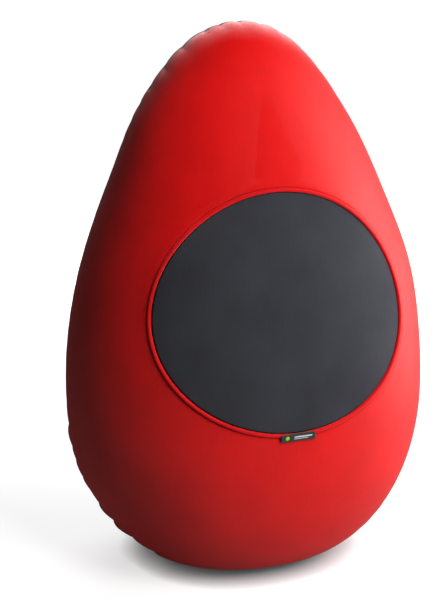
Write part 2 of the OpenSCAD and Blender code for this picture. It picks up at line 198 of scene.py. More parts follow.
def is_inside(p, depth):
    """Whether points lie inside the egg's surface, or inside the smaller egg at a depth under it."""
    g = np.maximum(0.001, girth(lat_at(p[..., 2], depth)))
    n = np.where(p[..., 1] < 0, FRONT_SQUARE, 2.0)
    across = np.abs(p[..., 0]) / (HALF_W - depth) / g
    back = np.abs(p[..., 1]) / (HALF_D - depth) / g
    return across**n + back**n < 1


def seat_point(angle, share=1.0, grow=0.0, depth=0.0):
    """A point of the seat: angle round its axis, share of its size, and growth past its outline."""
    angle, share = np.broadcast_arrays(np.radians(angle), share)
    across = np.cos(angle) * (SEAT_HALF_W + grow) * share
    up = np.sin(angle) * (SEAT_HALF_H + grow) * share
    start = np.array([0, 0, SEAT_AXIS_H]) + across[..., None] * [1, 0, 0] + up[..., None] * SEAT_UP
    near, far = np.zeros(angle.shape), np.full(angle.shape, 2 * HALF_D)
    for _ in range(BISECTIONS):
        middle = (near + far) / 2
        inside = is_inside(start + middle[..., None] * SEAT_OUT, depth)
        near, far = np.where(inside, middle, near), np.where(inside, far, middle)
    return start + near[..., None] * SEAT_OUT


def normal_at(p):
    """The direction out of the egg at a point on its surface."""
    return skin_normal(lat_at(p[..., 2]), turn_of(p))


# ---------- How the fabric gathers along the side seams ----------

# The seam pinches the fabric at uneven gaps, and the fabric stands up between two pinches. It is
# loosest below LOW_GATHERS, loose again above HIGH_GATHERS, and almost smooth between those heights.

SEAM_SAMPLES = 3000
GATHER_GAPS = (0.028, 0.062)
GATHER_DEPTH = 0.16
GATHER_SPREAD = (0.4, 1.6)
LOW_GATHERS = (0.24, 0.36)
HIGH_GATHERS = (0.92, 1.08)
LOW_LOOSE = 2.6
HIGH_LOOSE = 0.5
LEAST_LOOSE = 0.08
GATHER_REACH = 0.9
LOW_REACH = 2.0
REACH_SPREAD = (0.6, 1.2)
REACH_FADE = 1.5
CREST_ROUND = 0.7
CREST_SINK = 0.45
RNG = np.random.default_rng(803)


def side_seam():
    """Points from the right end of the base seam over the tip to the left end, and their places."""
    half = np.linspace(float(lat_at(BASE_SEAM_H)), 90, SEAM_SAMPLES // 2)
    right = skin(half, seam_at(half))
    left = skin(half, 180 - seam_at(half))[-2::-1]
    line = np.concatenate([right, left])
    step = np.linalg.norm(np.diff(line, axis=0), axis=1)
    return line, np.concatenate([[0], np.cumsum(step)])


def tree_of(spots):
    """Finds the nearest of the spots to a point."""
    tree = KDTree(len(spots))
    for number, spot in enumerate(spots):
        tree.insert(spot, number)
    tree.balance()
    return tree


SEAM_LINE, SEAM_PLACE = side_seam()
SEAM_TREE = tree_of(SEAM_LINE)


def gathers():
    """Where the seam pinches the fabric, and how high and far it stands out between two pinches."""
    places = [0.0]
    while places[-1] < SEAM_PLACE[-1]:
        places.append(places[-1] + RNG.uniform(*GATHER_GAPS))
    places = np.array(places)
    gaps = np.diff(places)
    middle = (places[1:] + places[:-1]) / 2
    height = np.interp(middle, SEAM_PLACE, SEAM_LINE[:, 2])
    loose = LOW_LOOSE * (1 - rise(height, *LOW_GATHERS)) + HIGH_LOOSE * rise(height, *HIGH_GATHERS)
    heights = gaps * GATHER_DEPTH * RNG.uniform(*GATHER_SPREAD, len(gaps))
    heights = heights * np.maximum(LEAST_LOOSE, loose)
    return places, heights, RNG.uniform(*REACH_SPREAD, len(gaps))


PINCHES, GATHERS, REACHES = gathers()


def gather_height(points):
    """How far the gathered fabric stands out at each point."""
    flat = points.reshape(-1, 3)
    found = [SEAM_TREE.find(p) for p in flat]
    away = np.array([f[2] for f in found])
    place = SEAM_PLACE[[f[1] for f in found]]
    number = np.clip(np.searchsorted(PINCHES, place) - 1, 0, len(GATHERS) - 1)
    gap = PINCHES[number + 1] - PINCHES[number]
    share = np.clip((place - PINCHES[number]) / gap, 0, 1)
    bump = (4 * share * (1 - share)) ** CREST_ROUND - CREST_SINK
    reach = mix(LOW_REACH, GATHER_REACH, rise(flat[:, 2], *LOW_GATHERS)) * REACHES[number]
    height = GATHERS[number] * bump * np.exp(-((away / (reach * gap)) ** REACH_FADE))
    return height.reshape(points.shape[:-1])


# ---------- Meshes from grids of points ----------

CENTRE = Vector((0, 0, 0.45))


def new_object(name, mesh, material):
    """A smooth object in the scene, with one material."""
    made = bpy.data.objects.new(name, mesh)
    bpy.context.scene.collection.objects.link(made)
    mesh.materials.append(material)
    mesh.polygons.foreach_set("use_smooth", [True] * len(mesh.polygons))
    return made


def grid_object(name, points, uv, material, ring=False, outward=CENTRE):
    """A surface through a grid of points. A ring joins its last row to its first, and its uv may have
    one row more than its points, so that the fabric's pattern runs on across the join."""
    rows, cols = points.shape[:2]
    mesh = bpy.data.meshes.new(name)
    faces, corners = [], []
    for r in range(rows if ring else rows - 1):
        after = (r + 1) % rows
        uv_after = r + 1 if r + 1 < len(uv) else after
        for c in range(cols - 1):
            faces.append((r * cols + c, after * cols + c, after * cols + c + 1, r * cols + c + 1))
            corners += [uv[r, c], uv[uv_after, c], uv[uv_after, c + 1], uv[r, c + 1]]
    mesh.from_pydata(points.reshape(-1, 3).tolist(), [], faces)
    layer = mesh.uv_layers.new(name="weave")
    layer.data.foreach_set("uv", np.array(corners, np.float32).ravel())
    tidy_mesh(mesh, outward)
    return new_object(name, mesh, material)


def tidy_mesh(mesh, outward):
    """Joins points that fell together, and turns the faces away from a point inside, or simply out."""
    work = bmesh.new()
    work.from_mesh(mesh)
    bmesh.ops.remove_doubles(work, verts=work.verts, dist=1e-6)
    bmesh.ops.dissolve_degenerate(work, edges=work.edges, dist=1e-7)
    if outward is not None:
        if sum(f.normal.dot(f.calc_center_median() - outward) * f.calc_area() for f in work.faces) < 0:
            bmesh.ops.reverse_faces(work, faces=work.faces)
    else:
        bmesh.ops.recalc_face_normals(work, faces=work.faces)
    work.to_mesh(mesh)
    work.free()


def thicken(piece, thickness):
    """Gives a surface its thickness, towards the inside."""
    layer = piece.modifiers.new("thickness", "SOLIDIFY")
    layer.thickness = thickness
    layer.offset = -1
    layer.use_even_offset = False
    return piece


def tube_faces(rows, sides, closed=False):
    """The faces between rings of points, and over both ends of a tube that isn't closed."""
    faces = []
    for r in range(rows if closed else rows - 1):
        after = ((r + 1) % rows - r) * sides
        for s in range(sides):
            a, b = r * sides + s, r * sides + (s + 1) % sides
            faces.append((a, b, b + after, a + after))
    if not closed:
        faces += [tuple(range(sides))[::-1], tuple((rows - 1) * sides + s for s in range(sides))]
    return faces


def tube_form(line, radius, sides, normals, closed=False):
    """Points and faces of a round tube along a line. radius may change from point to point."""
    if closed:
        along = unit(np.roll(line, -1, 0) - np.roll(line, 1, 0))
    else:
        along = unit(np.gradient(line, axis=0))
    side = unit(np.cross(along, normals))
    out = np.cross(side, along)
    turns = np.linspace(0, 2 * math.pi, sides, endpoint=False)
    radius = np.broadcast_to(radius, (len(line),))[:, None, None]
    ring = np.cos(turns)[None, :, None] * side[:, None] + np.sin(turns)[None, :, None] * out[:, None]
    points = line[:, None] + ring * radius
    return points.reshape(-1, 3).tolist(), tube_faces(len(line), sides, closed)


def solid_object(name, points, faces, material):
    mesh = bpy.data.meshes.new(name)
    mesh.from_pydata(points, [], faces)
    tidy_mesh(mesh, None)
    return new_object(name, mesh, material)


def distances(points, axis):
    """Distance of each point of a grid from the first one along an axis."""
    step = np.linalg.norm(np.diff(points, axis=axis), axis=-1)
    return np.concatenate([np.zeros_like(np.take(step, [0], axis)), np.cumsum(step, axis=axis)], axis)


def roll(gap, radius):
    """How far fabric drops towards a seam that it rolls into."""
    short = np.clip(radius - gap, 0, radius)
    return radius - np.sqrt(radius**2 - short**2)


def edge_gap(points, axis, first=True, last=True):
    """Distance of each point of a grid from the nearer of its two ends along an axis, or from one."""
    gap = distances(points, axis)
    total = np.take(gap, [-1], axis)
    sides = ([gap] if first else []) + ([total - gap] if last else [])
    return np.minimum.reduce(sides)


ALLOWANCE = 0.0035


def add_allowance(points, normals, uv, axis):
    """One more row at both ends of an axis, folded straight in under the edge."""
    points, normals, uv = (
        np.concatenate([np.take(grid, [0], axis), grid, np.take(grid, [-1], axis)], axis)
        for grid in (points, normals, uv))
    rows = np.arange(points.shape[axis])
    fold = np.where((rows == 0) | (rows == rows[-1]), ALLOWANCE, 0)[:, None]
    return points - normals * (fold if axis else fold[:, None]), normals, uv


def tuck(points, normals, reach, drop):
    """One more row past the last, which carries the folded edge in under the piping."""
    ahead = points[:, -2:-1] - points[:, -3:-2]
    ahead = unit(ahead - normals[:, -1:] * np.sum(ahead * normals[:, -1:], -1, keepdims=True))
    return points[:, -1:] + ahead * reach - normals[:, -1:] * drop


MERIDIAN = np.linspace(-90, 90, 721)
MERIDIAN_LENGTH = distances(skin(MERIDIAN, 90)[None], 1)[0]


def fabric_uv(lat, turn, middle):
    """Where a point lies on the flat fabric: true across, and true up the middle of the panel."""
    across = HALF_W * girth(lat) * np.radians(np.asarray(turn) - middle)
    up = np.interp(lat, MERIDIAN, MERIDIAN_LENGTH)
    return np.stack(np.broadcast_arrays(across, up), -1)


# ---------- Materials ----------


class Nodes:
    """A material's node tree, with short calls for the nodes that its functions share."""

    def __init__(self, name):
        self.material = bpy.data.materials.new(name)
        self.material.use_nodes = True
        self.tree = self.material.node_tree
        self.shader = self.tree.nodes["Principled BSDF"]

    def add(self, kind, inputs=None, **settings):
        node = self.tree.nodes.new(kind)
        for key, value in settings.items():
            setattr(node, key, value)
        for key, value in (inputs or {}).items():
            self.put(node.inputs[key], value)
        return node

    def put(self, socket, value):
        if isinstance(value, bpy.types.NodeSocket):
            self.tree.links.new(value, socket)
        else:
            socket.default_value = value

    def space(self):
        """Where a point lies in its object, in metres."""
        return self.add("ShaderNodeTexCoord").outputs["Object"]

    def split(self, vector):
        """A vector's three numbers."""
        return self.add("ShaderNodeSeparateXYZ", {0: vector}).outputs

    def stretched(self, vector, *scale):
        return self.add("ShaderNodeMapping", {"Vector": vector, "Scale": scale}).outputs[0]

    def math(self, operation, first, second=0.0):
        return self.add("ShaderNodeMath", {0: first, 1: second}, operation=operation).outputs[0]

    def mixed(self, first, share, second, other=1.0):
        """The sum of two values, each times its share."""
        second = second if other == 1.0 else self.math("MULTIPLY", second, other)
        return self.math("ADD", self.math("MULTIPLY", first, share), second)

    def noise(self, vector, scale, detail=3.0):
        made = self.add("ShaderNodeTexNoise", {"Vector": vector, "Scale": scale, "Detail": detail})
        return made.outputs["Fac"]

    def ramp(self, share, low, high):
        """Maps 0..1 to low..high."""
        return self.add("ShaderNodeMapRange", {"Value": share, "To Min": low, "To Max": high}).outputs[0]

    def between(self, share, dark, light):
        """From one sRGB colour to another."""
        node = self.add("ShaderNodeMix", data_type="RGBA")
        self.put(node.inputs[0], share)
        self.put(node.inputs[6], linear(*dark))
        self.put(node.inputs[7], linear(*light))
        return node.outputs[2]

    def set(self, **values):
        for key, value in values.items():
            self.put(self.shader.inputs[key.replace("_", " ")], value)

    def bump(self, height, distance, strength=1.0, under=None):
        node = self.add("ShaderNodeBump", {"Height": height, "Distance": distance, "Strength": strength})
        if under is not None:
            self.put(node.inputs["Normal"], under)
        return node.outputs["Normal"]


def linear(*srgb):
    """An sRGB colour in 0..255, as the shader wants it."""
    share = np.array(srgb) / 255
    value = np.where(share <= 0.04045, share / 12.92, ((share + 0.055) / 1.055) ** 2.4)
    return (*value.tolist(), 1.0)


def stripes(n, coordinate, pitch):
    """A soft wave along a coordinate, 0..1."""
    turn = n.math("MULTIPLY", coordinate, 2 * math.pi / pitch)
    return n.ramp(n.math("MULTIPLY", n.math("SINE", turn), 0.5), 0.5, 1.5)


def knit(n, across, up, wale, course):
    """Height of a knitted fabric: wales, broken up by courses that are half a stitch apart."""
    ribs = n.math("ABSOLUTE", n.math("SINE", n.math("MULTIPLY", across, math.pi / wale)))
    lean = n.math("ADD", n.math("MULTIPLY", up, 2 * math.pi / course), n.math("MULTIPLY", ribs, 1.6))
    loops = n.math("MULTIPLY", n.math("SINE", lean), 0.35)
    return n.math("ADD", ribs, loops)


WHITE = (1, 1, 1, 1)
PINK = (1, 0.8, 0.8, 1)


def cloth(name, dark, light, wale=0.0013, course=0.0011, bump=0.00012, roughness=0.8, sheen=0.4,
          sheen_roughness=0.4, sheen_tint=WHITE, specular=0.25):
    """A knitted fabric with its loops, soft mottling and a sheen."""
    n = Nodes(name)
    place = n.add("ShaderNodeUVMap", uv_map="weave").outputs["UV"]
    across, up, _ = n.split(place)
    space = n.space()
    cloudy = n.noise(space, 9.0, 4.0)
    streaks = n.noise(n.stretched(place, 900, 24, 1), 1.0, 2.0)
    tone = n.mixed(cloudy, 0.65, streaks, 0.35)
    loops = knit(n, across, up, wale, course)
    shade = n.math("MULTIPLY", n.ramp(tone, -0.35, 1.35), n.ramp(loops, 0.8, 1.05))
    n.set(Base_Color=n.between(shade, dark, light))
    n.set(Roughness=n.ramp(cloudy, roughness - 0.06, roughness + 0.06), Diffuse_Roughness=0.6)
    n.set(Sheen_Weight=sheen, Sheen_Roughness=sheen_roughness, Sheen_Tint=sheen_tint)
    n.set(Specular_IOR_Level=specular)
    soft = n.bump(n.noise(space, 28.0, 3.0), 0.0012, 0.35)
    n.set(Normal=n.bump(loops, bump, 0.8, soft))
    return n.material


TWIST = 0.0005


def thread(name, dark, light):
    """Twisted sewing thread."""
    n = Nodes(name)
    space = n.space()
    x, y, z = n.split(space)
    twist = stripes(n, n.math("ADD", n.math("ADD", x, y), z), TWIST)
    n.set(Base_Color=n.between(n.mixed(twist, 0.7, n.noise(space, 300, 2)), dark, light))
    n.set(Roughness=n.ramp(twist, 0.45, 0.6), Sheen_Weight=0.3, Sheen_Roughness=0.3)
    n.set(Normal=n.bump(twist, 0.0001, 0.8))
    return n.material


def woven_tape(name, dark, light, pitch=0.0009):
    """A flat woven tape in a twill: ribs that lean across it."""
    n = Nodes(name)
    space = n.space()
    x, y, z = n.split(space)
    twill = stripes(n, n.math("ADD", n.math("ADD", x, y), n.math("MULTIPLY", z, 1.7)), pitch)
    cross = stripes(n, z, pitch * 1.3)
    weave = n.math("MULTIPLY", twill, n.ramp(cross, 0.6, 1.0))
    n.set(Base_Color=n.between(n.mixed(weave, 0.8, n.noise(space, 60, 3)), dark, light))
    n.set(Roughness=n.ramp(weave, 0.9, 0.7), Sheen_Weight=0.2, Sheen_Roughness=0.4)
    n.set(Normal=n.bump(weave, 0.00015, 0.9))
    return n.material


def moulded(name, dark, light):
    """Smooth nylon with a slight ripple."""
    n = Nodes(name)
    space = n.space()
    tone = n.noise(space, 120, 3)
    n.set(Base_Color=n.between(tone, dark, light), Roughness=n.ramp(tone, 0.27, 0.44))
    n.set(Normal=n.bump(n.noise(space, 900, 2), 0.00005, 0.5))
    return n.material


def plated_metal(name):
    """Gunmetal plating, brushed and a little worn."""
    n = Nodes(name)
    space = n.space()
    brushed = n.noise(n.stretched(space, 2600, 2600, 90), 1.0, 2.0)
    worn = n.noise(space, 210, 5)
    n.set(Base_Color=n.between(worn, (96, 97, 102), (176, 177, 182)), Metallic=1.0)
    n.set(Roughness=n.ramp(n.math("MULTIPLY", brushed, worn), 0.22, 0.6))
    n.set(Normal=n.bump(brushed, 0.00003, 0.5))
    return n.material


def bead_foam(name):
    """Polystyrene beads, packed together, with painted shade in the gaps between them."""
    n = Nodes(name)
    space = n.space()
    cells = n.add("ShaderNodeTexVoronoi", {"Vector": space, "Scale": 220.0}).outputs["Distance"]
    # Painted shade: the colour darkens from each bead's middle towards the gaps between beads.
    n.set(Base_Color=n.between(cells, (250, 249, 244), (206, 204, 196)), Roughness=0.7)
    n.set(Subsurface_Weight=0.1, Normal=n.bump(n.math("SUBTRACT", 1.0, cells), 0.0015, 0.9))
    return n.material


RED = cloth("red_stretch_fabric", (196, 9, 9), (232, 18, 18), roughness=0.55, specular=0.5,
            sheen=0.06, sheen_roughness=0.5, sheen_tint=PINK)
PIPING_RED = cloth("red_piping_fabric", (196, 12, 16), (236, 30, 34), wale=0.0009, course=0.0009,
                   roughness=0.5, sheen=0.3, sheen_roughness=0.35, sheen_tint=PINK)
SEAT = cloth("charcoal_seat_fabric", (47, 47, 52), (66, 67, 73), wale=0.0016, course=0.0016,
             bump=0.00016, roughness=0.75, specular=0.12, sheen=0.03, sheen_roughness=0.45)
BACK = cloth("charcoal_cover_fabric", (46, 46, 51), (66, 66, 72), sheen=0.1)
BASE = cloth("base_fabric", (22, 22, 25), (36, 36, 40), wale=0.002, course=0.002, bump=0.0002, sheen=0.15)
LINER = cloth("liner_fabric", (214, 213, 208), (240, 239, 235), wale=0.0008, course=0.0008, sheen=0.1)
BINDING = woven_tape("binding_tape", (24, 24, 27), (48, 48, 53))
TAPE = woven_tape("zip_tape", (20, 20, 22), (44, 44, 48))
LINER_TAPE = woven_tape("liner_zip_tape", (196, 195, 190), (232, 231, 226))
NYLON = moulded("zip_nylon", (24, 24, 27), (46, 46, 50))
LINER_NYLON = moulded("liner_zip_nylon", (190, 189, 184), (226, 225, 220))
METAL = plated_metal("zip_metal")
RED_THREAD = thread("red_thread", (150, 8, 12), (232, 40, 44))
DARK_THREAD = thread("charcoal_thread", (26, 26, 30), (78, 78, 84))
RIBBON = woven_tape("label_ribbon", (24, 26, 27), (56, 60, 60), pitch=0.0006)
SATIN = woven_tape("care_label_satin", (220, 220, 216), (246, 246, 243), pitch=0.0005)
CORD = thread("piping_cord", (200, 198, 190), (240, 239, 232))
BEADS = bead_foam("polystyrene_beads")
GREEN = thread("label_green_thread", (96, 150, 14), (158, 214, 36))
GREY = thread("label_grey_thread", (160, 162, 164), (222, 224, 224))


def own(piece, slot, *nodes, body="chair"):
    """Puts a piece on its body, in the place of its CAD nodes. Its material slot is not used."""
    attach(piece, body)
    if nodes:
        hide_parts(*nodes)
    return piece


# ---------- The cover ----------

SIDE_STEPS = 260
TIP_STEPS = 24
BOTTOM_STEPS = 130
PANEL_STEPS = 76
BACK_STEPS = 110
SEAT_CORNERS = (-58, 62, 118, 238, 302)
PIPING_CLEAR = PIPING_R + SEAM_GAP
SEAM_ROLL = 0.004
PIPING_ROLL = 0.003
PIPING_PUFF = 0.0006
PUFF_PLACE = (0.013, 0.008)
SEAT_TUCK = (PIPING_CLEAR + 0.001, 0.0)
FRONT_TUCK = (PIPING_CLEAR + 0.004, 0.0018)
BASE_LAT = float(lat_at(BASE_SEAM_H))
FLOOR_CLEAR = 0.0002


def zip_slot(height, depth):
    """The latitudes of a zip slot's edges, and its arc: centre, radius, lean and half turn."""
    lat = lat_at(height, depth)
    middle, end = skin(lat, 90, depth), skin(lat, 90 - ZIP_HALF_TURN, depth)
    sag = middle[1] - end[1]
    radius = (end[0] ** 2 + sag**2) / (2 * sag)
    slope = (HALF_D - depth) * (1 - BASE_SHARE) * -math.sin(math.radians(lat))
    lean = math.atan(slope / ((WAIST_H - depth) * math.cos(math.radians(lat))))
    reach = ZIP_SLOT_W / 2 * math.cos(lean)
    edges = float(lat_at(height - reach, depth)), float(lat_at(height + reach, depth))
    return edges, (middle[1] - radius, radius, lean, math.degrees(math.asin(end[0] / radius)))


ZIP_EDGES, ZIP_ARC = zip_slot(ZIP_H, 0)
LINER_ZIP_EDGES, LINER_ZIP_ARC = zip_slot(LINER_ZIP_H, LINER_DEPTH)

LEAN_SIDE = (0.72, 1.0)
TIP_LEAN = 0.007
TIP_HEIGHTS = (0.86, 1.1)
LEFT_BULGES = [(0.99, 0.10, 0.007), (0.21, 0.09, 0.008)]
RIGHT_BULGES = [(0.68, 0.13, 0.009), (0.98, 0.1, 0.005)]


def leaned(points):
    """Moves points sideways as the filling has: the tip leans left, and the sides bulge unevenly.
    A bulge is its height on the side, its spread up and down, and how far it stands out."""
    share = points[..., 0] / (HALF_W * np.maximum(0.1, girth(lat_at(points[..., 2]))))
    height = points[..., 2]
    left, right = rise(-share, *LEAN_SIDE), rise(share, *LEAN_SIDE)
    move = -TIP_LEAN * rise(height, *TIP_HEIGHTS)
    for side, bulges in ((-left, LEFT_BULGES), (right, RIGHT_BULGES)):
        for middle, spread, size in bulges:
            move = move + side * size * hump(height, middle, spread)
    return points + move[..., None] * [1, 0, 0]


# ---------- How the cover swells between its seams ----------

# A coarse form starts SWELL_INSET inside the cover and is blown up by cloth simulation. SEAM_HOLD is
# how near to a seam it is held fast, and how far away it is free.

SWELL_ROWS = 60
SWELL_COLS = 108
SWELL_TOP = 86
SWELL_INSET = 0.004
SWELL_CAP = 0.004
SWELL_SOFTNESS = 0.018
SWELL_PRESSURE = 15
SWELL_FRAMES = 20
SEAM_HOLD = (0.010, 0.070)


def held_lines():
    """A tree of points along every seam that holds the cover: sides, seat, base and zip."""
    seat = seat_point(around(240))
    base = skin(BASE_LAT, around(180))
    ends = float(seam_at(lat_at(ZIP_H)))
    zips = skin(lat_at(ZIP_H), np.linspace(ends, 180 - ends, 160))
    return tree_of(np.concatenate([SEAM_LINE[::8], seat, base, zips]))


def swell_form(start, held):
    """A coarse closed cover, which its seams hold to the places where it starts."""
    mesh = bpy.data.meshes.new("swell_form")
    mesh.from_pydata(start.reshape(-1, 3).tolist(), [], tube_faces(*start.shape[:2]))
    form = new_object("swell_form", mesh, RED)
    group = form.vertex_groups.new(name="held")
    for number, weight in enumerate(held.ravel()):
        group.add([number], float(weight), "REPLACE")
    return form


def blown_up(form):
    """The form's points after its cloth has taken the filling's pressure."""
    cloth_layer = form.modifiers.new("filling_pressure", "CLOTH")
    cloth_layer.settings.vertex_group_mass = "held"
    cloth_layer.settings.use_pressure = True
    cloth_layer.settings.uniform_pressure_force = SWELL_PRESSURE
    cloth_layer.settings.effector_weights.gravity = 0
    cloth_layer.point_cache.frame_start, cloth_layer.point_cache.frame_end = 1, SWELL_FRAMES
    for moment in range(1, SWELL_FRAMES + 1):
        bpy.context.scene.frame_set(moment)
    shape = form.evaluated_get(bpy.context.evaluated_depsgraph_get())
    places = np.empty(3 * len(shape.data.vertices), np.float32)
    shape.data.vertices.foreach_get("co", places)
    mesh = form.data
    bpy.data.objects.remove(form)
    bpy.data.meshes.remove(mesh)
    bpy.context.scene.frame_set(1)
    return places.reshape(-1, 3).astype(float)


def swelling():
    """How far each point of the cover stands out once it is filled, on a grid of latitude and turn."""
    lat = np.linspace(BASE_LAT, SWELL_TOP, SWELL_ROWS)[:, None]
    turn = around(SWELL_COLS)[None]
    points, normals = skin(lat, turn), skin_normal(lat, turn)
    tree = held_lines()
    away = np.array([tree.find(p)[2] for p in points.reshape(-1, 3)]).reshape(points.shape[:2])
    free = rise(away, *SEAM_HOLD)
    start = points - normals * (SWELL_INSET * free)[..., None]
    places = blown_up(swell_form(start, 1 - free)).reshape(points.shape)
    out = np.sum((places - points) * normals, -1)
    return SWELL_CAP * np.tanh(out / SWELL_SOFTNESS)


def swell_at(lat, turn):
    """The swelling at any latitude and turn, from its grid."""
    row = np.clip((lat - BASE_LAT) / (SWELL_TOP - BASE_LAT), 0, 1) * (SWELL_ROWS - 1)
    col = np.mod(turn, 360) / 360 * SWELL_COLS
    low, first = np.minimum(row.astype(int), SWELL_ROWS - 2), col.astype(int) % SWELL_COLS
    up, along = row - low, col - col.astype(int)
    after = (first + 1) % SWELL_COLS
    below = mix(SWELLING[low, first], SWELLING[low, after], along)
    above = mix(SWELLING[low + 1, first], SWELLING[low + 1, after], along)
    return mix(below, above, up)


# ---------- The cover's panels ----------


def settled(lat, turn):
    """Points of the outer surface as it has settled, with its gathers, and their normals."""
    points, normals = skin(lat, turn), skin_normal(lat, turn)
    height = gather_height(points) + swell_at(*np.broadcast_arrays(lat, turn))
    points = leaned(points + normals * height[..., None])
    return points, normals


def front_places(rows):
    """Latitude and turn of the front panel's points, from its outer edge to the seat's piping."""
    sides = np.linspace(0, 1, SIDE_STEPS, endpoint=False)
    tops = np.linspace(0, 1, TIP_STEPS, endpoint=False)
    bottoms = np.linspace(0, 1, BOTTOM_STEPS, endpoint=False)
    spans = zip(SEAT_CORNERS, SEAT_CORNERS[1:], (sides, tops, sides, bottoms))
    angles = np.concatenate([mix(*span) for span in spans])
    up = mix(BASE_LAT, 90, sides)
    down = mix(90, BASE_LAT, sides)
    base_turn = float(seam_at(BASE_LAT))
    lats = np.concatenate([up, np.full(TIP_STEPS, 90.0), down, np.full(BOTTOM_STEPS, BASE_LAT)])
    turns = np.concatenate([seam_at(up), mix(0, -180, tops), -180 - seam_at(down),
                            mix(-180 - base_turn, base_turn, bottoms)])
    hole = seat_point(angles, 1, PIPING_CLEAR)
    hole_lats, hole_turns = lat_at(hole[:, 2]), turn_of(hole)
    share = ease(np.linspace(0, 1, rows + 1))
    return mix(lats[:, None], hole_lats[:, None], share), mix(turns[:, None], hole_turns[:, None], share)


def front_panel():
    """The red panel, which rolls into its seams, puffs up beside the piping and tucks in under it."""
    lat, turn = front_places(PANEL_STEPS)
    points, normals = settled(lat, turn)
    outer, inner = edge_gap(points, 1, last=False), edge_gap(points, 1, first=False)
    puff = PIPING_PUFF * hump(inner, *PUFF_PLACE)
    drop = roll(outer, SEAM_ROLL) + roll(inner, PIPING_ROLL) - puff
    points = points - normals * drop[..., None]
    uv = fabric_uv(lat, turn, -90)
    points, normals, uv = add_allowance(points, normals, uv, 1)
    points = np.concatenate([points, tuck(points, normals, *FRONT_TUCK)], 1)
    uv = np.concatenate([uv, uv[:, -1:]], 1)
    piece = thicken(grid_object("front_cover", points, uv, RED, ring=True), COVER_T)
    own(piece, "red_stretch_fabric", "front_panel")


def back_part(name, low, high, steps, material, slot, low_roll, high_roll, *nodes):
    """A panel of the back from side seam to side seam, between two latitudes."""
    lats = mix(low, high, ease(np.linspace(0, 1, steps + 1)))
    share = ease(np.linspace(0, 1, BACK_STEPS + 1))[:, None]
    edge = seam_at(lats) + slit_turn(lats) * 0.5
    lat, turn = np.broadcast_arrays(lats, mix(edge, 180 - edge, share))
    points, normals = settled(lat, turn)
    drop = roll(edge_gap(points, 0), SEAM_ROLL) + roll(edge_gap(points, 1, last=False), low_roll)
    if high < 90:
        drop = drop + roll(edge_gap(points, 1, first=False), high_roll)
    points = points - normals * drop[..., None]
    uv = fabric_uv(lat, turn, 90)
    points, normals, uv = add_allowance(points, normals, uv, 0)
    if high < 90:
        points, normals, uv = add_allowance(points, normals, uv, 1)
    piece = thicken(grid_object(name, points, uv, material), COVER_T)
    own(piece, slot, *nodes)


def underside(last_lat, turns, flat_steps, rim_steps, depth=0.0):
    """Points from the middle of the flat base out to its rim, and up the rim to a latitude."""
    rim = skin(np.linspace(-90, last_lat, rim_steps), around(turns)[:, None], depth)
    flat = rim[:, :1] * [1, 1, 0] * np.linspace(0, 1, flat_steps, endpoint=False)[None, :, None]
    return np.concatenate([flat + [0, 0, depth], rim], 1)


def uv_from_above(points):
    """The places of a ring's points as seen from above, with the first row again at the end."""
    return np.concatenate([points[..., :2], points[:1, :, :2]])


def base_panel():
    points = underside(float(lat_at(BASE_SEAM_H - SEAM_GAP)), 120, 12, 14)
    points[..., 2] = np.maximum(points[..., 2], FLOOR_CLEAR)
    piece = thicken(grid_object("base_cover", points, uv_from_above(points), BASE, ring=True), COVER_T)
    own(piece, "base_fabric", "base_panel")


FACING_GAP = 0.06
FACING_ROLL = 0.001


def zip_facing(name, low, high, depth, right, material, slot, thickness, *nodes):
    """A fabric strip that carries on a zip's slot to a side seam."""
    lats = np.linspace(low + float(slit_turn(low)), high - float(slit_turn(high)), 9)
    first = float(seam_at(low) + slit_turn(low) * 0.5)
    turns = np.linspace(first, 90 - ZIP_HALF_TURN - FACING_GAP, 60)[:, None]
    lat, turn = np.broadcast_arrays(lats, turns if right else 180 - turns)
    if depth:
        points, normals = skin(lat, turn, depth), skin_normal(lat, turn)
    else:
        points, normals = settled(lat, turn)
        points = points - normals * roll(edge_gap(points, 0, last=False), SEAM_ROLL)[..., None]
        points = points - normals * roll(edge_gap(points, 1), FACING_ROLL)[..., None]
    piece = thicken(grid_object(name, points, fabric_uv(lat, turn, 90), material), thickness)
    own(piece, slot, *nodes)


SEAT_TURNS = 360
SEAT_RINGS = 61
RING_CROWD = 1.6


def seat_panel():
    """The charcoal panel, in rings that crowd towards its edge, which rolls and tucks in there."""
    angles = around(SEAT_TURNS)[:, None]
    share = (1 - (1 - np.linspace(0, 1, SEAT_RINGS)) ** RING_CROWD)[None]
    points = seat_point(angles, share, -PIPING_CLEAR)
    normals = normal_at(points)
    gap = edge_gap(points, 1, first=False)
    swell = swell_at(lat_at(points[..., 2]), turn_of(points))
    points = points + normals * (swell - roll(gap, PIPING_ROLL))[..., None]
    reach = np.stack([np.cos(np.radians(angles)) * SEAT_HALF_W * share,
                      np.sin(np.radians(angles)) * SEAT_HALF_H * share], -1)
    points = np.concatenate([points, points[:, -1:] - ALLOWANCE * normals[:, -1:]], 1)
    points = np.concatenate([points, tuck(points, normals, *SEAT_TUCK)], 1)
    uv = np.concatenate([reach, reach[:, -1:], reach[:, -1:]], 1)
    uv = np.concatenate([uv, uv[:1]])
    piece = thicken(grid_object("seat_cover", points, uv, SEAT, ring=True), COVER_T)
    own(piece, "charcoal_seat_fabric", "seat_panel")


# ---------- The piping and the stitches ----------


def seat_ring(grow, lift, count):
    """A line round the seat: its points and their normals."""
    points = seat_point(around(count), 1, grow)
    normals = normal_at(points)
    return points + normals * lift, normals


PIPING_STEPS = 720
PIPING_WRINKLE = 0.04


